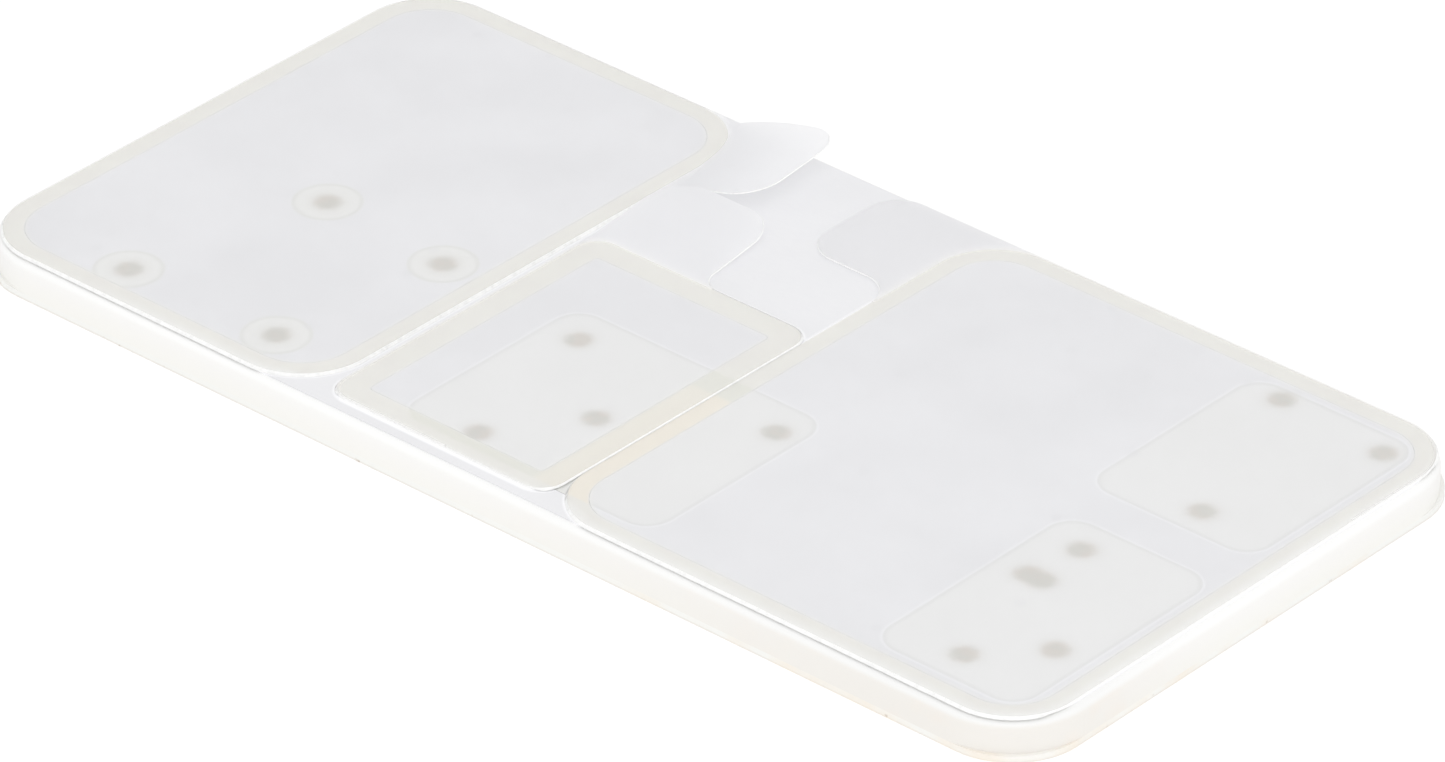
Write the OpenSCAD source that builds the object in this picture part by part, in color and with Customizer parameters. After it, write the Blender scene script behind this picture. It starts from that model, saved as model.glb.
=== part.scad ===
// Slim pill counting tray: a flat moulded slab whose top carries three counting
// sections, each with a sealed rim, a peel-back film lid and a finger tab.
// Origin: centre of the underside. X runs along the length, Y to the back, Z up.

/* [Tray] */
// Length of the tray
tray_length = 250; // [205:1:310]
// Width of the tray, front to back
tray_width = 123.4; // [102:0.1:150]
// Height of the moulded body above the base plate
body_height = 6.1; // [5:0.1:12]
// Radius of the body's upright corners
corner_radius = 16.5; // [13:0.5:22]
// Radius of the rounded top edge
edge_radius = 1.6; // [1:0.1:2]
// Thickness of the body's side walls
wall = 2; // [1.6:0.1:3]
// Thickness of the body's top plate
top_plate = 2.2; // [2:0.1:3]

/* [Stiffening ribs] */
// Number of ribs that run front to back
cross_ribs = 5; // [2:1:9]
// Number of ribs that run lengthwise
long_ribs = 2; // [1:1:5]
// Thickness of a rib
rib_thickness = 1.4; // [1:0.1:2.5]

/* [Base plate] */
// Thickness of the base plate
base_thickness = 1.3; // [1:0.1:3]
// Radius of the base plate's corners, tighter than the body's
base_corner_radius = 14.4; // [12:0.1:21]

/* [Top liner] */
// Thickness of the liner on the body's top
liner_thickness = 0.3; // [0.2:0.05:0.6]
// Clearance between a window in the liner and the piece set in it
window_gap = 0.1; // [0.05:0.05:0.3]

/* [Sections] */
// Length of the left section along X
left_length = 83.3; // [75:0.1:95]
// Length of the middle section along X
middle_length = 52; // [50:0.1:60]
// Gap between the left and middle sections
left_gap = 1.9; // [1:0.1:4]
// Gap between the middle and right sections
right_gap = 0.4; // [0.3:0.1:3]
// How far the middle section is set back from the tray's front
middle_setback = 4.2; // [3:0.1:8]
// Corner radius of the left section
left_corner = 14; // [10:0.5:18]
// Corner radius of the middle section
middle_corner = 5; // [4:0.5:8]
// Corner radius of the right section
right_corner = 13; // [10:0.5:18]

/* [Seals and mats] */
// Height of the seal rims and of the mats inside them
seal_height = 0.3; // [0.2:0.05:0.6]
// Width of the left section's seal rim
left_seal_width = 3.9; // [3:0.1:6]
// Width of the middle section's seal rim
middle_seal_width = 5.4; // [4:0.1:7]
// Width of the right section's seal rim
right_seal_width = 3.8; // [3:0.1:6]
// Smallest inner corner radius of a seal rim
seal_inner_radius = 1; // [0.5:0.1:2]
// Clearance between a mat and the seal rim round it
mat_gap = 0.05; // [0.02:0.01:0.2]

/* [Films and tabs] */
// Thickness of the film
film_thickness = 0.2; // [0.15:0.05:0.4]
// Clearance between a film and the seal rim under it
film_gap = 0.05; // [0.02:0.01:0.2]
// How far the left and right tabs reach out from their films
side_tab_length = 22; // [15:0.1:26]
// How far the middle tab reaches out from its film
middle_tab_length = 21.5; // [15:0.1:26]
// Width of a finger tab
tab_width = 25.4; // [20:0.1:28]
// Corner radius of a finger tab
tab_corner = 7; // [4:0.5:9]
// Corner radius of the middle tab where it nests beside the left tab's root
tab_nest_corner = 9; // [6:0.5:10]
// Radius of the fillets at the roots of the left and right tabs
tab_fillet = 6.6; // [4:0.1:8]
// Radius of the fillet at the root of the middle tab
middle_tab_fillet = 3.5; // [2:0.1:6]
// Gap between the middle tab's tip and the left tab's side
nest_gap = 0.2; // [0.1:0.05:1]
// Gap along the bend line between a film and its tab
bend_gap = 0.1; // [0.05:0.05:0.3]
// Where a side tab's bend line meets the back edge, inside its film's edge
bend_setback = 4.9; // [2:0.1:8]
// Angle that a side tab's bend line leans from the film's edge
bend_lean = 16.5; // [5:0.5:20]
// Angle that the left tab curls up at rest
left_curl = 19.5; // [5:0.5:30]
// Angle that the middle tab curls up at rest
middle_curl = 8.5; // [3:0.5:20]

/* [Cards] */
// Length of the middle card along X
middle_card_length = 59.5; // [45:0.5:70]
// Width of the middle card along Y
middle_card_width = 47; // [38:0.5:56]
// Distance of the middle card from the middle section's left edge
middle_card_inset = 14.2; // [12:0.1:18]
// Distance of the middle card from the middle section's front edge
middle_card_front = 3; // [2:0.1:6]
// Length of the back card along X
back_card_length = 37; // [30:0.5:45]
// Length of the front card along X
front_card_length = 32.5; // [28:0.5:45]
// Width of the front card along Y
front_card_width = 52.5; // [44:0.5:60]
// Gap between the front card and the back card, which fills the rest
card_spacing = 9.5; // [2:0.5:14]
// Distance of these two cards from the right section's outer edges
right_card_inset = 5.6; // [4:0.1:8]
// Corner radius of the cards
card_corner = 5.5; // [3:0.5:8]

/* [Studs and seats] */
// Diameter of a stud
stud_diameter = 5.7; // [4:0.1:7]
// Height of a stud
stud_height = 1; // [0.6:0.1:1.2]
// Extra length of the oblong stud
oblong_extra = 3; // [2:0.1:5]
// Clearance round a stud in its pocket
stud_gap = 0.05; // [0.02:0.01:0.2]
// Diameter of the round seats over the left section's studs
seat_diameter = 13; // [10:0.5:16]

/* [Hidden] */
$fn = 96;
overlap = 0.5; // how far a cut runs past the face that it opens

// Heights of the layers, from the underside up
body_top = base_thickness + body_height;
liner_top = body_top + liner_thickness;
seal_top = liner_top + seal_height;
film_bottom = seal_top + film_gap;
film_top = film_bottom + film_thickness;

// A section is [left, front, right, back, corner radius, seal width]
side_x = tray_length / 2 - edge_radius;
side_y = tray_width / 2 - edge_radius;
left_x1 = left_length - side_x;
middle_x0 = left_x1 + left_gap;
middle_x1 = middle_x0 + middle_length;
middle_y0 = middle_setback - tray_width / 2;
side_tab_y0 = side_y - tab_width;
middle_y1 = side_tab_y0 - nest_gap - middle_tab_length;
left_section = [-side_x, -side_y, left_x1, side_y, left_corner, left_seal_width];
middle_section = [middle_x0, middle_y0, middle_x1, middle_y1, middle_corner, middle_seal_width];
right_section = [middle_x1 + right_gap, -side_y, side_x, side_y, right_corner, right_seal_width];

// A bend line is [x, y, turn]: a point on it, and the tab's direction from it. The
// side tabs' lines lean to pass outside the rounded corners of the seal rims.
left_bend = [left_x1 - bend_setback, side_y, bend_lean];
middle_bend = [middle_x0, middle_y1, 90];
right_bend = [right_section[0] + bend_setback, side_y, 180 - bend_lean];

// A card is [left, front, length, width]
middle_card_place = [
    middle_x0 + middle_card_inset, middle_y0 + middle_card_front,
    middle_card_length, middle_card_width
];
card_side_x = side_x - right_card_inset;
card_side_y = side_y - right_card_inset;
back_card_y0 = front_card_width + card_spacing - card_side_y;
front_card_place = [card_side_x - front_card_length, -card_side_y, front_card_length, front_card_width];
back_card_place = [
    card_side_x - back_card_length, back_card_y0,
    back_card_length, card_side_y - back_card_y0
];

// Stud places: [x, y] inside the card or section that holds them. A negative
// value is measured from the right or back edge.
middle_stud_places = [[7.8, -8.1], [-5.3, -8.1], [27.7, 21.6], [15.5, 4.5]];
back_stud_places = [[8.4, -3.2], [-4.3, -5.3], [21.2, 6.3]];
front_stud_places = [[9, -7.5], [8.6, -19.3], [-6.8, 18.2], [15.1, 6.9]];
left_stud_places = [[41.2, 49.8], [-11.7, 47.7], [30.8, 9.1], [-17.2, 10.3]];
oblong_stud = 1; // index of the oblong stud among the front card's studs

STUD_HOSTS = ["middle", "back", "front", "left"];
stud_places = [middle_stud_places, back_stud_places, front_stud_places, left_stud_places];
left_place = [
    left_section[0], left_section[1],
    left_section[2] - left_section[0], left_section[3] - left_section[1]
];
host_places = [middle_card_place, back_card_place, front_card_place, left_place];
stud_names = [
    for (h = [0 : 3]) for (i = [0 : len(stud_places[h]) - 1]) str(STUD_HOSTS[h], "_stud_", i + 1)
];
seat_names = [for (i = [0 : len(left_stud_places) - 1]) str("left_seat_", i + 1)];

function from_edge(size, place) = place < 0 ? size + place : place;
function stud_at(h, i) = [
    host_places[h][0] + from_edge(host_places[h][2], stud_places[h][i][0]),
    host_places[h][1] + from_edge(host_places[h][3], stud_places[h][i][1])
];
function is_oblong(h, i) = STUD_HOSTS[h] == "front" && i == oblong_stud;

// ---- outlines -------------------------------------------------------------

// Rectangle from one corner to the other, with true arcs at its corners
module rounded_area(x0, y0, x1, y1, r) {
    translate([x0 + r, y0]) square([x1 - x0 - 2 * r, y1 - y0]);
    translate([x0, y0 + r]) square([x1 - x0, y1 - y0 - 2 * r]);
    for (x = [x0 + r, x1 - r])
        for (y = [y0 + r, y1 - r])
            translate([x, y]) circle(r);
}

module centred_area(length, width, r) {
    rounded_area(-length / 2, -width / 2, length / 2, width / 2, r);
}

// Outline of a section, moved in from its edge by inset
module section_area(s, inset = 0) {
    rounded_area(
        s[0] + inset, s[1] + inset, s[2] - inset, s[3] - inset,
        max(s[4] - inset, seal_inner_radius)
    );
}

module card_area(place, gap = 0) {
    rounded_area(
        place[0] - gap, place[1] - gap, place[0] + place[2] + gap, place[1] + place[3] + gap,
        card_corner + gap
    );
}

// A finger tab from its film's edge at x = 0. Side y = 0 has the root fillet, and
// side y = tab_width runs straight on from its film's edge.
module tab_area(reach, fillet, far_corner) {
    difference() {
        translate([-overlap, 0]) square([reach + overlap, tab_width]);
        translate([reach, 0]) corner_cut(tab_corner);
        translate([reach, tab_width]) mirror([0, 1]) corner_cut(far_corner);
    }
    difference() {
        translate([-overlap, -fillet]) square([fillet + overlap, fillet + overlap]);
        translate([fillet, -fillet]) circle(fillet);
    }
}

// What is cut from an outer corner at the origin to round it
module corner_cut(r) {
    difference() {
        translate([-r, -overlap]) square([r + overlap, r + overlap]);
        translate([-r, r]) circle(r);
    }
}

// Outline of a film with its tab. The film is square at the back corner where the
// tab's edge runs on from its own.
module left_sheet_area() {
    s = left_section;
    section_area(s);
    translate([s[2] - s[4], s[3] - s[4]]) square(s[4]);
    translate([s[2], side_tab_y0]) tab_area(side_tab_length, tab_fillet, tab_corner);
}

module middle_sheet_area() {
    s = middle_section;
    section_area(s);
    translate([s[0], s[3] - s[4]]) square(s[4]);
    translate([s[0] + tab_width, s[3]])
        rotate(90) tab_area(middle_tab_length, middle_tab_fillet, tab_nest_corner);
}

module right_sheet_area() {
    s = right_section;
    section_area(s);
    translate([s[0], s[3] - s[4]]) square(s[4]);
    translate([s[0], side_tab_y0])
        mirror([1, 0]) tab_area(side_tab_length, tab_fillet, tab_corner);
}

// Half plane on the tab's side of a bend line. A bend is [x, y, turn]: a point on
// the line, and the direction of the tab from it.
module beyond(bend) {
    translate([bend[0], bend[1]])
        rotate(bend[2]) translate([0, -tray_length]) square(2 * tray_length);
}

// ---- shared solids --------------------------------------------------------

// Slab with its top edge rounded
module rounded_slab(length, width, height, r, edge) {
    linear_extrude(height - edge) centred_area(length, width, r);
    linear_extrude(height) centred_area(length - 2 * edge, width - 2 * edge, r - edge);
    translate([0, 0, height - edge]) {
        for (y = [-1, 1])
            translate([r - length / 2, y * (width / 2 - edge), 0])
                rotate([0, 90, 0]) cylinder(r = edge, h = length - 2 * r);
        for (x = [-1, 1])
            translate([x * (length / 2 - edge), r - width / 2, 0])
                rotate([-90, 0, 0]) cylinder(r = edge, h = width - 2 * r);
        for (x = [-1, 1])
            for (y = [-1, 1])
                translate([x * (length / 2 - r), y * (width / 2 - r), 0])
                    rotate_extrude() translate([r - edge, 0]) edge_round(edge);
    }
}

// Outer half of a circle, which sweeps the rounded edge round a corner
module edge_round(edge) {
    intersection() {
        circle(edge);
        translate([0, -edge]) square([edge, 2 * edge]);
    }
}

module seal_ring(s) {
    color([0.93, 0.92, 0.87])
        translate([0, 0, liner_top])
            linear_extrude(seal_height)
                difference() {
                    section_area(s);
                    section_area(s, s[5]);
                }
}

module section_mat(s) {
    color([0.92, 0.92, 0.93])
        translate([0, 0, liner_top])
            linear_extrude(seal_height) section_area(s, s[5] + mat_gap);
}

module card(place) {
    color([0.90, 0.90, 0.89])
        translate([0, 0, body_top])
            linear_extrude(liner_thickness) card_area(place);
}

// A stud's outline, grown by gap for its pocket
module stud_area(h, i, gap = 0) {
    r = stud_diameter / 2 + gap;
    translate(stud_at(h, i))
        if (is_oblong(h, i)) {
            for (x = [-1, 1]) translate([x * oblong_extra / 2, 0]) circle(r);
            square([oblong_extra, 2 * r], center = true);
        } else {
            circle(r);
        }
}

module stud(h, i) {
    color([0.55, 0.54, 0.50])
        translate([0, 0, body_top - stud_height])
            linear_extrude(stud_height) stud_area(h, i);
}

module seat(i) {
    color([0.94, 0.94, 0.93])
        translate(concat(stud_at(3, i), body_top))
            cylinder(d = seat_diameter, h = liner_thickness);
}

// The part of a film's sheet (child 0) that stays flat on its section
module film(bend) {
    color([0.92, 0.92, 0.94])
        translate([0, 0, film_bottom])
            linear_extrude(film_thickness)
                difference() {
                    children(0);
                    beyond(bend);
                }
}

// The part of a film's sheet (child 0) beyond its bend line, turned up by curl
module tab(bend, curl) {
    turn = [0, 0, bend[2]];
    crease = [bend[0], bend[1], film_top];
    color([0.93, 0.93, 0.95])
        translate(crease)
            rotate(turn) rotate([0, -curl, 0]) rotate(-turn)
                translate([-crease[0], -crease[1], -film_thickness])
                    linear_extrude(film_thickness)
                        intersection() {
                            children(0);
                            beyond(bend + bend_gap * [cos(bend[2]), sin(bend[2]), 0]);
                        }
}

// ---- sub-parts ------------------------------------------------------------

module base_plate() {
    color([0.95, 0.94, 0.91])
        linear_extrude(base_thickness)
            centred_area(tray_length, tray_width, base_corner_radius);
}

// Moulded shell, open below, with ribs under its top plate and pockets in its top
module tray_body() {
    inner_length = tray_length - 2 * wall;
    inner_width = tray_width - 2 * wall;
    cavity = body_height - top_plate;
    color([0.97, 0.97, 0.96])
        difference() {
            translate([0, 0, base_thickness]) {
                difference() {
                    rounded_slab(
                        tray_length, tray_width, body_height, corner_radius, edge_radius
                    );
                    translate([0, 0, -overlap])
                        linear_extrude(cavity + overlap)
                            centred_area(inner_length, inner_width, corner_radius - wall);
                }
                for (k = [1 : cross_ribs])
                    translate([(k / (cross_ribs + 1) - 0.5) * inner_length, 0, cavity / 2])
                        cube([rib_thickness, inner_width + wall, cavity + overlap], center = true);
                for (k = [1 : long_ribs])
                    translate([0, (k / (long_ribs + 1) - 0.5) * inner_width, cavity / 2])
                        cube([inner_length + wall, rib_thickness, cavity + overlap], center = true);
            }
            rib_trim();
            stud_pockets();
        }
}

// Cuts the ribs level with the body's lower face
module rib_trim() {
    translate([0, 0, base_thickness - overlap])
        linear_extrude(overlap) square([tray_length, tray_width], center = true);
}

module stud_pockets() {
    translate([0, 0, body_top - stud_height])
        linear_extrude(stud_height + overlap)
            for (h = [0 : 3])
                for (i = [0 : len(stud_places[h]) - 1])
                    stud_area(h, i, stud_gap);
}

// Thin sheet on the body's top, with a window for each card and round seat
module top_liner() {
    color([0.96, 0.96, 0.98])
        translate([0, 0, body_top])
            linear_extrude(liner_thickness)
                difference() {
                    rounded_area(-side_x, -side_y, side_x, side_y, corner_radius - edge_radius);
                    for (place = [middle_card_place, back_card_place, front_card_place])
                        card_area(place, window_gap);
                    for (i = [0 : len(left_stud_places) - 1])
                        translate(stud_at(3, i)) circle(d = seat_diameter + 2 * window_gap);
                }
}

base_plate();
tray_body();
top_liner();
section_mat(left_section);  // left_mat
section_mat(middle_section);  // middle_mat
section_mat(right_section);  // right_mat
seal_ring(left_section);  // left_seal
seal_ring(middle_section);  // middle_seal
seal_ring(right_section);  // right_seal
card(middle_card_place);  // middle_card
card(back_card_place);  // back_card
card(front_card_place);  // front_card
for (i = [0 : len(seat_names) - 1])
    seat(i);
for (h = [0 : 3])
    for (i = [0 : len(stud_places[h]) - 1])
        stud(h, i);
film(left_bend) left_sheet_area();  // left_film
film(middle_bend) middle_sheet_area();  // middle_film
film(right_bend) right_sheet_area();  // right_film
tab(left_bend, left_curl) left_sheet_area();  // left_tab
tab(middle_bend, middle_curl) middle_sheet_area();  // middle_tab
tab(right_bend, 0) right_sheet_area();  // right_tab
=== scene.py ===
"""Looks of the slim pill counting tray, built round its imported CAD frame."""
import math

import bmesh
import bpy
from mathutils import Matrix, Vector


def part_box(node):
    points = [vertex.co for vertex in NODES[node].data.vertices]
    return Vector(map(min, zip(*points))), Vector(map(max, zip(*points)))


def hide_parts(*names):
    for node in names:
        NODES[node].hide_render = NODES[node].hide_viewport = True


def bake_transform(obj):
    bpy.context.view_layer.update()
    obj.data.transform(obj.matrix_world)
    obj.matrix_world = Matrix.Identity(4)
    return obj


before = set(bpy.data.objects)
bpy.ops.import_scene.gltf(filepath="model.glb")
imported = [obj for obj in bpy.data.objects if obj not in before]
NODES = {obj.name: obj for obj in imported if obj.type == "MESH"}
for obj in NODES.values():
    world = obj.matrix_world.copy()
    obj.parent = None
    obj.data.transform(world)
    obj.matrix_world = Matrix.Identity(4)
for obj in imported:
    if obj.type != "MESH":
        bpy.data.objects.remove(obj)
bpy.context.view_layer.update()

MM = 0.001
SIDES = ("left", "middle", "right")


def share(value):
    """value, held between 0 and 1."""
    return min(max(value, 0), 1)


# ---------------------------------------------------------------- outlines


ARC_STEPS = 20


def corner(points, i):
    """The arc that rounds corner i of a path of (x, y, radius) by right angles."""
    x, y, r = points[i]
    here = Vector((x, y))
    before, after = points[i - 1], points[(i + 1) % len(points)]
    a = (Vector(before[:2]) - here).normalized()
    b = (Vector(after[:2]) - here).normalized()
    centre = here + (a + b) * r
    arc = []
    for k in range(ARC_STEPS + 1):
        t = math.pi / 2 * k / ARC_STEPS
        arc.append(centre - b * r * math.cos(t) - a * r * math.sin(t))
    return arc


def rounded_path(points):
    """A closed outline, anticlockwise, in metres."""
    return [p for i in range(len(points)) for p in corner(points, i)]


# ---------------------------------------------------------------- sections

SECTION_CORNER = {"left": 14 * MM, "middle": 5 * MM, "right": 13 * MM}
SEAL_WIDTH = {"left": 3.9 * MM, "middle": 5.4 * MM, "right": 3.8 * MM}
TAB_WIDTH = 25.4 * MM
TAB_REACH = {"left": 22 * MM, "middle": 21.5 * MM, "right": 22 * MM}
TAB_CORNER = 7 * MM
NEST_CORNER = 9 * MM
FILLET = {"left": 6.6 * MM, "middle": 3.5 * MM, "right": 6.6 * MM}
BEND_SETBACK = 4.9 * MM
BEND_LEAN = math.radians(16.5)


def section(side):
    """Left, front, right and back of a section, from its seal rim."""
    lo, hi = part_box(side + "_seal")
    return lo.x, lo.y, hi.x, hi.y


def mat_corner(side):
    """The corner radius of a section's mat, inside its seal rim."""
    return max(SECTION_CORNER[side] - SEAL_WIDTH[side], MM)


def sheet_outline(side):
    """A film and its tab in plan."""
    x0, y0, x1, y1 = section(side)
    r, reach, f = SECTION_CORNER[side], TAB_REACH[side], FILLET[side]
    if side == "left":
        y = y1 - TAB_WIDTH
        tip = x1 + reach
        return rounded_path([
            (x0, y0, r), (x1, y0, r), (x1, y, f), (tip, y, TAB_CORNER),
            (tip, y1, TAB_CORNER), (x0, y1, r),
        ])
    if side == "right":
        y = y1 - TAB_WIDTH
        tip = x0 - reach
        return rounded_path([
            (x0, y0, r), (x1, y0, r), (x1, y1, r), (tip, y1, TAB_CORNER),
            (tip, y, TAB_CORNER), (x0, y, f),
        ])
    x = x0 + TAB_WIDTH
    tip = y1 + reach
    return rounded_path([
        (x0, y0, r), (x1, y0, r), (x1, y1, r), (x, y1, f),
        (x, tip, TAB_CORNER), (x0, tip, NEST_CORNER),
    ])


def bend_line(side):
    """A point on the line where the tab bends, and the tab's direction from it."""
    x0, _, x1, y1 = section(side)
    if side == "left":
        return Vector((x1 - BEND_SETBACK, y1)), Vector((math.cos(BEND_LEAN), math.sin(BEND_LEAN)))
    if side == "right":
        return Vector((x0 + BEND_SETBACK, y1)), Vector((-math.cos(BEND_LEAN), math.sin(BEND_LEAN)))
    return Vector((x0, y1)), Vector((0, 1))


# ---------------------------------------------------------------- film sheets

# How each tab curls: slope at its root, and change of slope per metre along it
CURL = {
    "left": (math.radians(27.0), math.radians(-700)),
    "middle": (math.radians(6.5), math.radians(190)),
    "right": (0.0, 0.0),
}
TWIST = {"left": 0.12, "middle": 0.0, "right": 0.0}
FLAT_PLACE = "flat_place"  # where a point is on the uncurled sheet, for its material
HEM_WAY = "hem_way"  # which way a hem faces on the uncurled sheet
# The hem: how far the sheet's edge spreads and drops along a section, a tab, a hinge and the gap between lids
HEM = (0.42 * MM, 0.53 * MM)
TAB_HEM = (0.12 * MM, 0.2 * MM)
HINGE_HEM = (0.04 * MM, 0.12 * MM)
GAP_HEM = {"middle": (0.36 * MM, 0.2 * MM), "right": (0.01 * MM, 0.03 * MM)}
HEM_FADE = 1.5 * MM
# A hem's slope from its rim to its foot, as shares of its width and height
HEM_SLOPE = ((0.2, 0.3), (0.5, 0.78), (1, 1))
# Spacing of the sheet's cuts along a tab, across it, and over the whole sheet
ALONG_STEP = 0.8 * MM
ACROSS_STEP = 3 * MM
COARSE_STEP = 6 * MM
ALONG_CUTS = 34
ACROSS_CUTS = 10  # to each side of the bend's origin
CURL_STEPS = 48
ON_PLANE = 1e-7
SAME_PLACE = 2e-6


def curl_profile(slope, change, s):
    """How far out and up the tab is at s along it, and its slope there."""
    out = up = 0.0
    step = s / CURL_STEPS
    for k in range(CURL_STEPS):
        t = slope + change * step * (k + 0.5)
        out += math.cos(t) * step
        up += math.sin(t) * step
    return out, up, slope + change * s


def curled(side, co, origin, along, depth):
    """A point of the flat sheet, moved to where the curled tab has it. depth is below the top."""
    flat = Vector((co.x, co.y)) - origin
    s = flat.dot(along)
    slope, change = CURL[side]
    if s <= 0 or slope == 0:
        return Vector((co.x, co.y, -depth))
    across = abs(flat.cross(along))
    ease = 1 - TWIST[side] * share(across / TAB_WIDTH)
    out, up, tilt = curl_profile(slope * ease, change * ease, s)
    plan = Vector((co.x, co.y)) + along * (out - s + depth * math.sin(tilt))
    return Vector((plan.x, plan.y, up - depth * math.cos(tilt)))


def from_section(side, co):
    """How far a point of the flat sheet is outside its section."""
    x0, y0, x1, y1 = section(side)
    r = SECTION_CORNER[side]
    dx = max(x0 + r - co.x, co.x - x1 + r, 0)
    dy = max(y0 + r - co.y, co.y - y1 + r, 0)
    return math.hypot(dx, dy) - r


def hem_size(side, co):
    """Width and height of the sheet's hem at a point of its outline."""
    x0, y0, x1, _ = section(side)
    from_hinge = {"left": co.x - x0, "middle": co.y - y0, "right": x1 - co.x}[side]
    from_gap = {"left": HEM_FADE, "middle": x1 - co.x, "right": co.x - x0}[side]
    size = HEM
    for other, part in (
        (HINGE_HEM, 1 - from_hinge / HEM_FADE),
        (GAP_HEM.get(side, HEM), 1 - from_gap / HEM_FADE),
        (TAB_HEM, from_section(side, co) / HEM_FADE),
    ):
        size = [a + (b - a) * share(part) for a, b in zip(size, other)]
    return size


def outward_ways(rim, flat):
    """The way out of the flat sheet at each point of its outline."""
    outward = {}
    for e in rim:
        a, b = e.verts
        if e.link_loops[0].vert != a:
            a, b = b, a
        run = (flat[b] - flat[a]).normalized()
        for v in (a, b):
            outward[v] = outward.get(v, Vector()) + Vector((run.y, -run.x, 0))
    return {v: total.normalized() for v, total in outward.items()}


def add_hem(bm, side, rim, flat, under, uncurled, way, top):
    """The sheet's edge: a lip that slopes down over the seal rim, and is low along the tab."""
    origin, along = bend_line(side)
    rings = {}
    for v, n in outward_ways(rim, flat).items():
        width, height = hem_size(side, flat[v])
        ring = [v]
        for out, down in HEM_SLOPE:
            place = flat[v] + n * width * out
            depth = height * down
            new = bm.verts.new(curled(side, place, origin, along, depth) + Vector((0, 0, top)))
            new[uncurled] = (place.x, place.y, -depth)
            ring.append(new)
        ring.append(under[v])
        for point in ring:
            point[way] = n
        rings[v] = ring
    for e in rim:
        a, b = (rings[v] for v in e.verts)
        for k in range(len(a) - 1):
            face = bm.faces.new([a[k], b[k], b[k + 1], a[k + 1]])
            face.material_index = 1


def cut_sheet(bm, side):
    """Cuts the flat sheet into small faces: coarse ones all over, and fine ones on the tab."""
    origin, along = bend_line(side)
    across = Vector((-along.y, along.x))
    x0, y0, x1, y1 = section(side)
    cuts = [(origin + along * (k * ALONG_STEP), along) for k in range(ALONG_CUTS)]
    n = int((x1 - x0) / COARSE_STEP)
    cuts += [(Vector((x0 + (x1 - x0) * k / n, 0)), Vector((1, 0))) for k in range(1, n)]
    n = int((y1 - y0) / COARSE_STEP)
    cuts += [(Vector((0, y0 + (y1 - y0) * k / n)), Vector((0, 1))) for k in range(1, n)]
    cuts += [(origin + across * (k * ACROSS_STEP), across) for k in range(-ACROSS_CUTS, ACROSS_CUTS + 1)]
    for point, normal in cuts:
        faces = bm.faces[:]
        if normal in (along, across):
            faces = [f for f in faces if max((v.co.xy - origin).dot(along) for v in f.verts) > -ON_PLANE]
        geom = set(faces)
        for f in faces:
            geom.update(f.verts)
            geom.update(f.edges)
        bmesh.ops.bisect_plane(
            bm, geom=list(geom), dist=ON_PLANE,
            plane_co=(point.x, point.y, 0), plane_no=(normal.x, normal.y, 0),
        )
    bmesh.ops.remove_doubles(bm, verts=bm.verts[:], dist=SAME_PLACE)


def film_sheet(side):
    """A film and its tab as one closed sheet."""
    lo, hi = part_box(side + "_film")
    top, thick = hi.z, hi.z - lo.z
    origin, along = bend_line(side)
    bm = bmesh.new()
    for name in (FLAT_PLACE, HEM_WAY):
        bm.verts.layers.float_vector.new(name)
    uncurled, way = (bm.verts.layers.float_vector[name] for name in (FLAT_PLACE, HEM_WAY))
    bm.faces.new([bm.verts.new((p.x, p.y, 0)) for p in sheet_outline(side)])
    cut_sheet(bm, side)
    faces = bm.faces[:]
    verts = bm.verts[:]
    rim = [e for e in bm.edges if e.is_boundary]
    flat = {v: v.co.copy() for v in verts}
    under = {}
    for v in verts:
        v[uncurled] = flat[v]
        under[v] = bm.verts.new(curled(side, flat[v], origin, along, thick) + Vector((0, 0, top)))
        under[v][uncurled] = (flat[v].x, flat[v].y, -thick)
    for f in faces:
        bm.faces.new([under[v] for v in reversed(f.verts)])
    add_hem(bm, side, rim, flat, under, uncurled, way, top)
    for v in verts:
        v.co = curled(side, flat[v], origin, along, 0.0) + Vector((0, 0, top))
    bmesh.ops.recalc_face_normals(bm, faces=bm.faces[:])
    for f in bm.faces:
        f.smooth = f.material_index == 0
    for e in bm.edges:
        e.smooth = len({f.material_index for f in e.link_faces}) == 1
    mesh = bpy.data.meshes.new(side + "_lid_sheet")
    bm.to_mesh(mesh)
    bm.free()
    sheet = bpy.data.objects.new(side + "_lid_sheet", mesh)
    bpy.context.scene.collection.objects.link(sheet)
    return sheet


# ---------------------------------------------------------------- materials


def linear(r, g, b):
    """An 8-bit screen colour as linear light."""
    def one(c):
        c /= 255
        return c / 12.92 if c <= 0.04045 else ((c + 0.055) / 1.055) ** 2.4
    return one(r), one(g), one(b), 1.0


PLASTIC_IOR = 1.46


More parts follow.
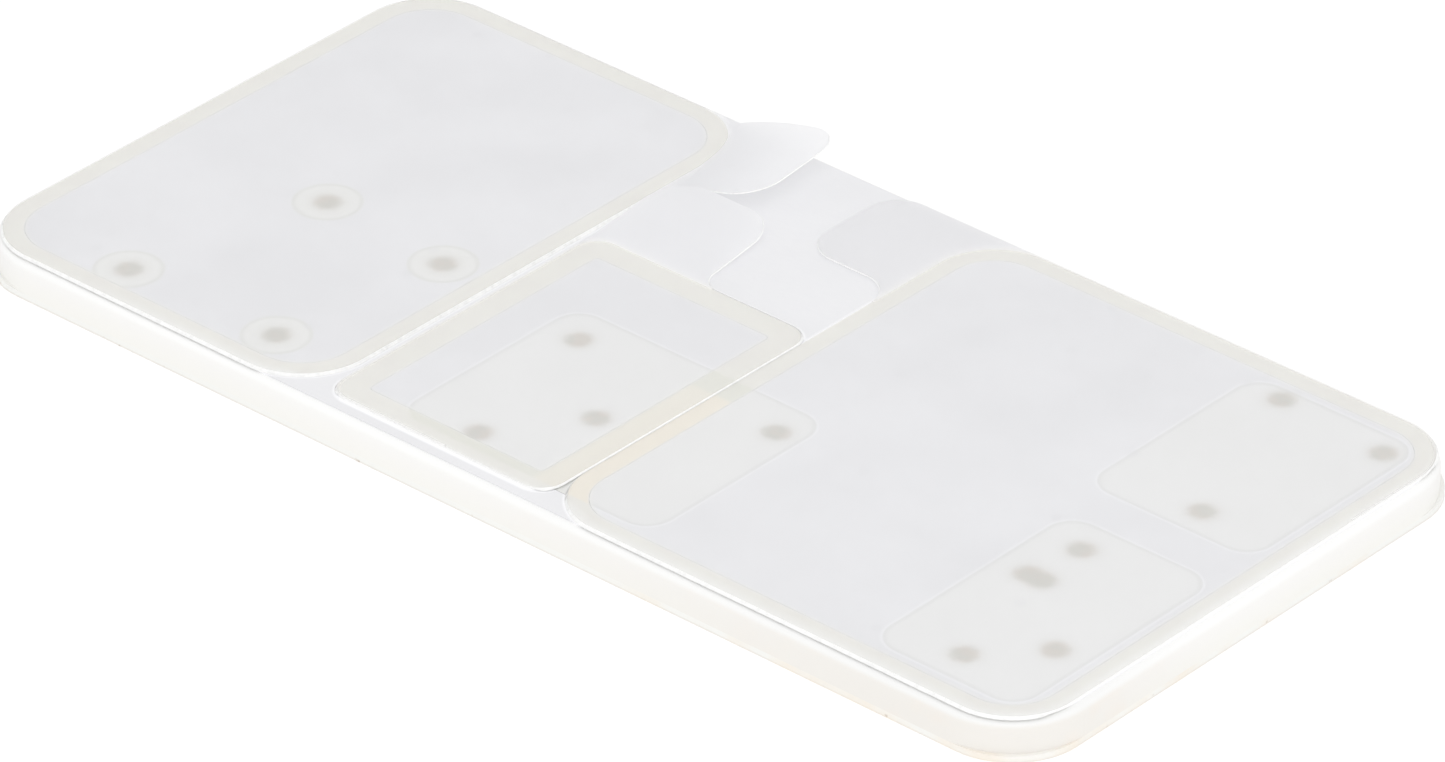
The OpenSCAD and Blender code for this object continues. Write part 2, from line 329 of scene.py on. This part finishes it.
class Paint:
    """A node material with one Principled shader, and short names for the nodes it needs.

    roughness is the plain value, for a reader that can't follow the nodes linked over it.
    place names the stored places to paint by, on a sheet that bends."""

    def __init__(self, name, roughness, specular=0.5, place=None):
        self.mat = bpy.data.materials.new(name)
        self.mat.use_nodes = True
        self.tree = self.mat.node_tree
        self.shader = self.tree.nodes["Principled BSDF"]
        self.shader.inputs["Roughness"].default_value = roughness
        self.shader.inputs["IOR"].default_value = PLASTIC_IOR
        self.shader.inputs["Specular IOR Level"].default_value = specular
        coords = self.node("ShaderNodeTexCoord")
        self.place = coords.outputs["Object"]
        self.facing = coords.outputs["Normal"]
        if place:
            self.place = self.stored(place)
        split = self.node("ShaderNodeSeparateXYZ")
        self.link(self.place, split.inputs[0])
        self.x, self.y, self.z = split.outputs

    def node(self, kind):
        return self.tree.nodes.new(kind)

    def link(self, a, b):
        self.tree.links.new(a, b)

    def stored(self, name):
        n = self.node("ShaderNodeAttribute")
        n.attribute_name = name
        return n.outputs["Vector"]

    def feed(self, socket, value):
        if isinstance(value, bpy.types.NodeSocket):
            self.link(value, socket)
        else:
            socket.default_value = value

    def math(self, op, a, b=0.0):
        n = self.node("ShaderNodeMath")
        n.operation = op
        self.feed(n.inputs[0], a)
        self.feed(n.inputs[1], b)
        return n.outputs[0]

    def vector(self, op, a, b=(0, 0, 0)):
        n = self.node("ShaderNodeVectorMath")
        n.operation = op
        self.feed(n.inputs[0], a)
        self.feed(n.inputs[1], b)
        return n.outputs["Value" if op in ("LENGTH", "DOT_PRODUCT") else "Vector"]

    def ramp(self, value, start, end, low=0.0, high=1.0, smooth=True):
        """value's range from start to end, as low to high."""
        n = self.node("ShaderNodeMapRange")
        n.interpolation_type = "SMOOTHSTEP" if smooth else "LINEAR"
        n.clamp = True
        self.feed(n.inputs[0], value)
        for k, v in zip((1, 2, 3, 4), (start, end, low, high)):
            n.inputs[k].default_value = v
        return n.outputs[0]

    def mix(self, factor, a, b):
        """Colour a, turned to b by factor."""
        n = self.node("ShaderNodeMix")
        n.data_type = "RGBA"
        self.feed(n.inputs[0], factor)
        self.feed(n.inputs[6], a)
        self.feed(n.inputs[7], b)
        return n.outputs[2]

    def tones(self, noise, a, b):
        """A mottle of two colours."""
        return self.mix(self.ramp(noise, 0.3, 0.7), linear(*a), linear(*b))

    def noise(self, size, detail, rough=0.5, stretch=(1, 1, 1), shift=0.0):
        """Noise whose lumps are about size metres across."""
        place = self.node("ShaderNodeMapping")
        self.link(self.place, place.inputs[0])
        place.inputs["Location"].default_value = (shift, shift * 0.7, shift * 0.3)
        place.inputs["Scale"].default_value = stretch
        n = self.node("ShaderNodeTexNoise")
        self.link(place.outputs[0], n.inputs["Vector"])
        n.inputs["Scale"].default_value = 1 / size
        n.inputs["Detail"].default_value = detail
        n.inputs["Roughness"].default_value = rough
        return n.outputs[0]

    def bump(self, height, distance, strength, onto=None):
        n = self.node("ShaderNodeBump")
        n.inputs["Strength"].default_value = strength
        n.inputs["Distance"].default_value = distance
        self.link(height, n.inputs["Height"])
        if onto is not None:
            self.link(onto, n.inputs["Normal"])
        return n.outputs[0]

    def finish(self, colour, normal=None, roughness=None):
        self.link(colour, self.shader.inputs["Base Color"])
        if normal is not None:
            self.link(normal, self.shader.inputs["Normal"])
        if roughness is not None:
            self.link(roughness, self.shader.inputs["Roughness"])
        return self.mat

    # distances in plan, in metres, below zero inside

    def plan(self, cx, cy, hx, hy):
        """How far the place is outside a box in plan, as a vector."""
        flat = self.vector("MULTIPLY", self.place, (1, 1, 0))
        away = self.vector("SUBTRACT", flat, (cx, cy, 0))
        return self.vector("MAXIMUM", self.vector("SUBTRACT", self.vector("ABSOLUTE", away), (hx, hy, 0)))

    def from_card(self, box, r):
        """How far the place is outside a box with round corners."""
        lo, hi = box
        q = self.plan((lo.x + hi.x) / 2, (lo.y + hi.y) / 2, (hi.x - lo.x) / 2 - r, (hi.y - lo.y) / 2 - r)
        return self.math("SUBTRACT", self.vector("LENGTH", q), r)

    def from_stud(self, box):
        """How far the place is outside a round or oblong piece."""
        lo, hi = box
        r = min(hi.x - lo.x, hi.y - lo.y) / 2
        return self.from_card(box, r)


def body_paint():
    p = Paint("tray_plastic", roughness=0.42)
    lo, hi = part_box("tray_body")
    up = p.ramp(p.z, lo.z, hi.z - MM)
    wall = p.mix(up, linear(237, 236, 232), linear(238, 237, 235))
    # Towards the front right corner the wall is darker and warmer, with warm patches, and the painted
    # highlight on its top edge is toned down.
    near = p.vector("MULTIPLY", p.vector("SUBTRACT", p.place, (hi.x, lo.y, 0)), (1, 2.6, 0))
    towards_front_right = p.ramp(p.vector("LENGTH", near), 150 * MM, 5 * MM)
    wall = p.mix(towards_front_right, wall, linear(230, 227, 222))
    patch = p.ramp(p.noise(13 * MM, 2, 0.6), 0.5, 0.72, 0, 0.45)
    wall = p.mix(p.math("MULTIPLY", patch, towards_front_right), wall, linear(236, 226, 216))
    # Painted highlight: the top edge of the wall is painted lighter along its rounded rim.
    edge = p.ramp(p.z, hi.z - 1.3 * MM, hi.z - 0.4 * MM)
    rim = p.mix(towards_front_right, linear(242, 242, 241), linear(235, 235, 234))
    colour = p.mix(edge, wall, rim)
    grain = p.noise(0.5 * MM, 3, 0.6)
    waves = p.noise(18 * MM, 1)
    normal = p.bump(grain, 0.02 * MM, 0.5)
    normal = p.bump(waves, 0.6 * MM, 0.3, normal)
    return p.finish(colour, normal, p.ramp(grain, 0.3, 0.7, 0.36, 0.5))


def base_paint():
    p = Paint("base_plastic_worn", roughness=0.5)
    low = p.ramp(p.z, 0.15 * MM, 0.55 * MM)
    colour = p.mix(low, linear(228, 225, 220), linear(237, 237, 234))
    patch = p.ramp(p.noise(14 * MM, 2, 0.6, shift=0.3), 0.4, 0.7, 0, 0.7)
    patch = p.math("MULTIPLY", patch, p.ramp(p.x, 10 * MM, 70 * MM))
    colour = p.mix(patch, colour, linear(236, 226, 212))
    specks = p.ramp(p.noise(1.6 * MM, 1, 0.5, shift=0.7), 0.7, 0.8, 0, 0.4)
    specks = p.math("MULTIPLY", specks, p.ramp(p.z, 0.9 * MM, 0.3 * MM))
    colour = p.mix(specks, colour, linear(150, 120, 80))
    grain = p.noise(0.5 * MM, 3, 0.6)
    return p.finish(colour, p.bump(grain, 0.02 * MM, 0.6), p.ramp(grain, 0.3, 0.7, 0.42, 0.58))


def liner_paint():
    p = Paint("liner_film_satin", roughness=0.38)
    tone = p.noise(30 * MM, 2)
    colour = p.mix(p.ramp(tone, 0.35, 0.65), linear(227, 227, 229), linear(230, 230, 232))
    fibre = p.noise(0.8 * MM, 3, 0.6, stretch=(0.35, 1, 1))
    colour = p.mix(p.ramp(fibre, 0.35, 0.7, 0, 0.15), colour, linear(224, 224, 228))
    # Painted light: the liner is painted lighter just outside each section's seal rim.
    for side in SIDES:
        painted_light_beside_rims = p.ramp(p.from_card(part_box(side + "_seal"), SECTION_CORNER[side]), 1.1 * MM, 0.3 * MM)
        colour = p.mix(painted_light_beside_rims, colour, linear(248, 248, 250))
    normal = p.bump(fibre, 0.015 * MM, 0.5)
    normal = p.bump(p.noise(9 * MM, 1), 0.25 * MM, 0.3, normal)
    return p.finish(colour, normal, p.ramp(fibre, 0.3, 0.7, 0.32, 0.45))


CARD_CORNER = 5.5 * MM
BUBBLE_SPACING = 17 * MM
BUBBLE_RADIUS = 0.9 * MM
PAD_TONES = (231.5, 231.5, 233.5), (236, 236, 238)
CARD_TONE = (236, 236, 235)
STUD_TONES = (206, 204, 197), (211, 204, 196)
# Where the rims over the middle card turn from olive to warm: in front of y and right of x
WARM_Y = (-12.9 * MM, -14.0 * MM)
WARM_X = (7.5 * MM, 9.5 * MM)
WARM_TONE = {"right": (242, 235, 220), "middle": (238, 234, 222)}


def paint_cards(p, colour, cards):
    """The cards under a mat: a neutral zone with a soft dark line inside its edge and a light one outside."""
    for name in cards:
        d = p.from_card(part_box(name), CARD_CORNER)
        colour = p.mix(p.ramp(d, 0.15 * MM, -0.25 * MM, 0, 0.95), colour, linear(*CARD_TONE))
        inner = p.math("MULTIPLY", p.ramp(d, 0.1 * MM, -0.1 * MM), p.ramp(d, -1.1 * MM, -0.4 * MM))
        colour = p.mix(p.math("MULTIPLY", inner, 0.6), colour, linear(223, 223, 222))
        outer = p.math("MULTIPLY", p.ramp(d, 0.0, 0.15 * MM), p.ramp(d, 0.7 * MM, 0.3 * MM))
        colour = p.mix(p.math("MULTIPLY", outer, 0.6), colour, linear(245, 245, 247))
    return colour


def paint_studs(p, colour, studs, mottle):
    """The studs under a mat, blurred by the film above them."""
    rust = p.ramp(p.noise(2.2 * MM, 2, 0.6, shift=0.9), 0.4, 0.65)
    core = p.mix(rust, linear(*STUD_TONES[0]), linear(*STUD_TONES[1]))
    for name in studs:
        d = p.math("ADD", p.from_stud(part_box(name)), mottle)
        ring = p.ramp(d, 2.1 * MM, 0.6 * MM, 0, 0.25)
        colour = p.mix(ring, colour, linear(226, 225, 221))
        colour = p.mix(p.ramp(d, 0.8 * MM, -1.5 * MM, 0, 0.95), colour, core)
    return colour


def paint_bubbles(p, colour):
    """A few faint small rings, where air is caught under the mat."""
    cells = p.node("ShaderNodeTexVoronoi")
    p.link(p.place, cells.inputs["Vector"])
    cells.voronoi_dimensions = "2D"
    cells.inputs["Scale"].default_value = 1 / BUBBLE_SPACING
    away = cells.outputs["Distance"]
    disc = p.ramp(away, BUBBLE_RADIUS * 1.3 / BUBBLE_SPACING, BUBBLE_RADIUS * 0.8 / BUBBLE_SPACING)
    centre = p.ramp(away, BUBBLE_RADIUS * 0.2 / BUBBLE_SPACING, BUBBLE_RADIUS * 0.8 / BUBBLE_SPACING, 0.35, 1)
    pick = p.node("ShaderNodeSeparateColor")
    p.link(cells.outputs["Color"], pick.inputs[0])
    some = p.ramp(pick.outputs[0], 0.5, 0.8, 0, 0.7)
    return p.mix(p.math("MULTIPLY", p.math("MULTIPLY", disc, centre), some), colour, linear(226, 226, 228))


def mat_paint(side, cards, studs, seats=()):
    p = Paint(side + "_mat_frosted", roughness=0.55)
    clouds = p.noise(24 * MM, 3, 0.6)
    fibres = p.noise(2.6 * MM, 3, 0.65, stretch=(0.3, 1, 1), shift=0.2)
    colour = p.tones(clouds, *PAD_TONES)
    colour = p.mix(p.ramp(fibres, 0.35, 0.7, 0, 0.08), colour, linear(225, 225, 229))
    colour = paint_cards(p, colour, cards)
    for name in seats:
        d = p.from_stud(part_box(name))
        colour = p.mix(p.ramp(d, 0.3 * MM, -0.3 * MM, 0, 0.85), colour, linear(237, 237, 234))
        line = p.math("MULTIPLY", p.ramp(d, 0.2 * MM, -0.1 * MM), p.ramp(d, -1.1 * MM, -0.3 * MM))
        colour = p.mix(p.math("MULTIPLY", line, 0.8), colour, linear(225, 225, 222))
    colour = paint_bubbles(p, colour)
    edge = p.from_card(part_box(side + "_mat"), mat_corner(side))
    colour = p.mix(p.ramp(edge, -0.8 * MM, 0.0, 0, 0.4), colour, linear(243, 242, 236))
    mottle = p.ramp(p.noise(0.9 * MM, 2, 0.6, shift=0.5), 0.3, 0.7, -0.25 * MM, 0.25 * MM, smooth=False)
    colour = paint_studs(p, colour, studs, mottle)
    grain = p.noise(0.35 * MM, 2, 0.6)
    normal = p.bump(grain, 0.01 * MM, 0.6)
    return p.finish(colour, p.bump(clouds, 0.3 * MM, 0.25, normal), p.ramp(grain, 0.3, 0.7, 0.48, 0.62))


def seal_paint(side):
    p = Paint(side + "_seal_ivory", roughness=0.45)
    tone = p.noise(7 * MM, 3, 0.6)
    colour = p.tones(tone, (235, 233, 227), (237, 236, 229))
    if side != "left":
        d = p.from_card(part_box("middle_card"), CARD_CORNER)
        under = p.ramp(d, 0.25 * MM, -0.25 * MM)
        warm = p.math("MULTIPLY", p.ramp(p.y, *WARM_Y), p.ramp(p.x, *WARM_X))
        olive = linear(229, 229, 219)
        tint = p.mix(warm, olive, linear(*WARM_TONE[side]))
        colour = p.mix(p.math("MULTIPLY", under, 0.9), colour, tint)
    inside = p.from_card(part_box(side + "_mat"), mat_corner(side))
    colour = p.mix(p.ramp(inside, 0.5 * MM, 0.0, 0, 0.6), colour, linear(*PAD_TONES[1]))
    # Painted light: the seal is painted lighter towards its outer edge on the front and right sides, near the
    # tray's rim.
    outside = p.from_card(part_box(side + "_seal"), SECTION_CORNER[side])
    lo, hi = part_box("tray_body")
    lit_side = p.math("SUBTRACT", p.math("DIVIDE", p.x, hi.x), p.math("DIVIDE", p.y, hi.y))
    painted_light = p.math("MULTIPLY", p.ramp(outside, -2.8 * MM, -0.2 * MM, 0, 0.65), p.ramp(lit_side, 0.0, 0.4))
    from_rim = p.from_card((lo, hi), SECTION_CORNER["left"])
    painted_light = p.math("MULTIPLY", painted_light, p.ramp(from_rim, -6.5 * MM, -4.0 * MM))
    colour = p.mix(painted_light, colour, linear(250, 250, 248))
    # Painted light: the seal's side faces are painted lighter than its top.
    flat = p.node("ShaderNodeSeparateXYZ")
    p.link(p.facing, flat.inputs[0])
    painted_light_on_sides = p.ramp(p.math("ABSOLUTE", flat.outputs[2]), 0.6, 0.3)
    colour = p.mix(painted_light_on_sides, colour, linear(250, 250, 249))
    grain = p.noise(0.6 * MM, 3, 0.6)
    return p.finish(colour, p.bump(grain, 0.015 * MM, 0.5), p.ramp(grain, 0.3, 0.7, 0.38, 0.52))


def card_paint():
    p = Paint("card_sheet", roughness=0.4)
    tone = p.noise(12 * MM, 3, 0.6)
    colour = p.tones(tone, (222, 222, 219), (232, 232, 230))
    grain = p.noise(0.5 * MM, 3, 0.6)
    return p.finish(colour, p.bump(grain, 0.02 * MM, 0.6), p.ramp(grain, 0.3, 0.7, 0.34, 0.46))


def seat_paint():
    p = Paint("seat_disc", roughness=0.45)
    tone = p.noise(3 * MM, 3, 0.6)
    colour = p.tones(tone, (228, 228, 226), (238, 238, 236))
    return p.finish(colour, p.bump(tone, 0.03 * MM, 0.5), p.ramp(tone, 0.3, 0.7, 0.4, 0.5))


def stud_paint():
    p = Paint("stud_dark_worn", roughness=0.5)
    tone = p.noise(1.2 * MM, 3, 0.7)
    colour = p.tones(tone, (96, 90, 74), (124, 117, 98))
    return p.finish(colour, p.bump(tone, 0.05 * MM, 0.6), p.ramp(tone, 0.3, 0.7, 0.42, 0.6))


FILM_COVER = 0.23  # share of light that a film's top stops
FILM_UNDER = 0.2  # and its underside
TAB_COVER = 0.965
TAB_UNDER = 0.06
FILM_GLOW = 0.3  # share of what it stops that comes through as soft light
TAB_GLOW = 0.72
TAB_ZONE_START = {"left": -0.15 * MM, "middle": -0.5 * MM, "right": -0.5 * MM}
TAB_ZONE_FADE = 0.12 * MM
UNDERSIDE = -0.1 * MM  # the film is top above this place in its thickness, and underside below it
BACK_LEFT = (-0.7, 0.7, 0)
TAB_TONE = {"left": (254, 254, 254.5), "middle": (254.5, 254.5, 255), "right": (253.2, 253.1, 253.5)}
# The hem where it faces front right, where it faces back left, and at the right lid's bare edge
EDGE_COVER = (0.97, 0.9, 0.15)
EDGE_GLOW = (0.05, 0.6)


def frosted(p, colour, normal, roughness, cover, glow):
    """Film: cover is the share of light it stops, glow the share of that which comes through soft."""
    mat = p.finish(colour, normal, roughness)
    soft = p.node("ShaderNodeBsdfTranslucent")
    p.link(colour, soft.inputs["Color"])
    p.link(normal, soft.inputs["Normal"])
    film = p.node("ShaderNodeMixShader")
    p.feed(film.inputs[0], glow)
    p.link(p.shader.outputs[0], film.inputs[1])
    p.link(soft.outputs[0], film.inputs[2])
    whole = p.node("ShaderNodeMixShader")
    p.link(cover, whole.inputs[0])
    p.link(p.node("ShaderNodeBsdfTransparent").outputs[0], whole.inputs[1])
    p.link(film.outputs[0], whole.inputs[2])
    p.link(whole.outputs[0], p.tree.nodes["Material Output"].inputs["Surface"])
    return mat


def film_paint(side):
    p = Paint(side + "_film_frosted", roughness=0.36, place=FLAT_PLACE)
    clouds = p.noise(16 * MM, 3, 0.6, shift=0.4)
    colour = p.tones(clouds, (239, 239, 240), (242, 242, 243))
    x0, _, _, y1 = section(side)
    if side == "middle":
        beside = p.ramp(p.x, x0 + TAB_WIDTH + FILLET[side], x0 + TAB_WIDTH + FILLET[side] - MM)
    else:
        beside = p.ramp(p.y, y1 - TAB_WIDTH - FILLET[side], y1 - TAB_WIDTH - FILLET[side] + MM)
    start = TAB_ZONE_START[side]
    on_tab = p.ramp(p.from_card(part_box(side + "_seal"), SECTION_CORNER[side]), start, start + TAB_ZONE_FADE)
    on_tab = p.math("MULTIPLY", on_tab, beside)
    colour = p.mix(on_tab, colour, linear(*TAB_TONE[side]))
    grain = p.noise(0.28 * MM, 2, 0.6)
    ripple = p.noise(11 * MM, 2, 0.5, shift=0.1)
    normal = p.bump(grain, 0.006 * MM, 0.7)
    normal = p.bump(ripple, 0.35 * MM, 0.25, normal)
    cover = p.ramp(clouds, 0.25, 0.75, FILM_COVER - 0.01, FILM_COVER + 0.01)
    cover = p.math("ADD", cover, p.math("MULTIPLY", on_tab, TAB_COVER - FILM_COVER))
    under = p.math("LESS_THAN", p.z, UNDERSIDE)
    low_cover = p.ramp(on_tab, 0, 1, FILM_UNDER, TAB_UNDER, smooth=False)
    cover = p.math("MULTIPLY", cover, p.math("SUBTRACT", 1.0, under))
    cover = p.math("ADD", cover, p.math("MULTIPLY", under, low_cover))
    glow = p.ramp(on_tab, 0, 1, FILM_GLOW, TAB_GLOW, smooth=False)
    return frosted(p, colour, normal, p.ramp(grain, 0.3, 0.7, 0.3, 0.42), cover, glow)


def film_edge_paint():
    """The hem: solid where it faces front right, and soft with light where it is seen through the film."""
    p = Paint("lid_film_edge", roughness=0.3, place=FLAT_PLACE)
    tone = p.noise(1.5 * MM, 2, 0.6)
    colour = p.tones(tone, (244, 244, 243), (248, 248, 247))
    behind = p.vector("DOT_PRODUCT", p.stored(HEM_WAY), BACK_LEFT)
    glow = p.ramp(behind, -0.1, 0.3, *EDGE_GLOW)
    cover = p.math("ADD", p.ramp(behind, -0.1, 0.3, *EDGE_COVER[:2]), p.ramp(tone, 0.3, 0.7, -0.03, 0.03))
    x = section("right")[0]
    bare = p.ramp(p.x, x - 0.03 * MM, x - 0.02 * MM)
    bare = p.math("MULTIPLY", bare, p.ramp(p.x, x + 0.5 * MM, x + 0.05 * MM))
    cover = p.math("SUBTRACT", cover, p.math("MULTIPLY", bare, EDGE_COVER[1] - EDGE_COVER[2]))
    return frosted(p, colour, p.bump(tone, 0.02 * MM, 0.5), p.ramp(tone, 0.3, 0.7, 0.26, 0.36), cover, glow)


def dress(names, material):
    for name in names:
        NODES[name].data.materials[0] = material


def studs_of(host):
    return sorted(n for n in NODES if n.startswith(host + "_stud_"))


LEFT_SEATS = sorted(n for n in NODES if n.startswith("left_seat_"))
dress(["tray_body"], body_paint())
dress(["base_plate"], base_paint())
dress(["top_liner"], liner_paint())
dress(["left_mat"], mat_paint("left", [], studs_of("left"), LEFT_SEATS))
dress(["middle_mat"], mat_paint("middle", ["middle_card"], studs_of("middle")))
dress(["right_mat"], mat_paint(
    "right", ["middle_card", "back_card", "front_card"],
    studs_of("middle") + studs_of("back") + studs_of("front"),
))
for side in SIDES:
    dress([side + "_seal"], seal_paint(side))
dress(["middle_card", "back_card", "front_card"], card_paint())
dress(LEFT_SEATS, seat_paint())
dress(sorted(n for n in NODES if "_stud_" in n), stud_paint())

film_edge = film_edge_paint()
for side in SIDES:
    sheet = film_sheet(side)
    sheet.data.materials.append(film_paint(side))
    sheet.data.materials.append(film_edge)
    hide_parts(side + "_film", side + "_tab")
    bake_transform(sheet)

# ---------------------------------------------------------------- floor, light, camera

FLOOR_HALF = 3.0
FLOOR_GLOW = 0.1
SKY_STRENGTH = 0.95


def floor():
    bm = bmesh.new()
    bmesh.ops.create_grid(bm, x_segments=8, y_segments=8, size=FLOOR_HALF)
    mesh = bpy.data.meshes.new("floor")
    bm.to_mesh(mesh)
    bm.free()
    obj = bpy.data.objects.new("floor", mesh)
    bpy.context.scene.collection.objects.link(obj)
    p = Paint("floor_pale", roughness=0.9, specular=0.1)
    tone = p.noise(0.4, 2)
    mesh.materials.append(p.finish(p.mix(p.ramp(tone, 0.3, 0.7), (0.9, 0.9, 0.9, 1), (0.92, 0.92, 0.92, 1))))
    p.shader.inputs["Emission Color"].default_value = (1, 1, 1, 1)
    p.shader.inputs["Emission Strength"].default_value = FLOOR_GLOW


floor()

world = bpy.data.worlds.new("studio")
bpy.context.scene.world = world
world.use_nodes = True
sky = world.node_tree.nodes["Background"]
sky.inputs["Color"].default_value = (1.0, 1.0, 1.0, 1)
sky.inputs["Strength"].default_value = SKY_STRENGTH


def softbox(name, place, size, power):
    light = bpy.data.lights.new(name, "AREA")
    light.shape, light.size, light.energy = "SQUARE", size, power
    obj = bpy.data.objects.new(name, light)
    bpy.context.scene.collection.objects.link(obj)
    obj.location = place
    obj.rotation_euler = (-Vector(place)).to_track_quat("-Z", "Y").to_euler()


softbox("key", (0.95, -0.92, 1.4), 1.2, 8)

AZIMUTH, ELEVATION = math.radians(41.603), math.radians(31.652)
DISTANCE = 1.82475
AIM = Vector((0, 0.2 * MM, 0))
camera = bpy.data.cameras.new("camera")
camera.sensor_fit, camera.sensor_width = "HORIZONTAL", 36
camera.lens = 256.66
camera.shift_x, camera.shift_y = 0.01107, -0.0038
camera.clip_start, camera.clip_end = 0.05, 50
camera_obj = bpy.data.objects.new("camera", camera)
bpy.context.scene.collection.objects.link(camera_obj)
back = Vector((
    math.sin(AZIMUTH) * math.cos(ELEVATION), -math.cos(AZIMUTH) * math.cos(ELEVATION), math.sin(ELEVATION),
))
camera_obj.location = AIM + back * DISTANCE
camera_obj.rotation_euler = back.to_track_quat("Z", "Y").to_euler()
bpy.context.scene.camera = camera_obj
bpy.context.scene.view_settings.view_transform = "Standard"

bpy.context.view_layer.update()
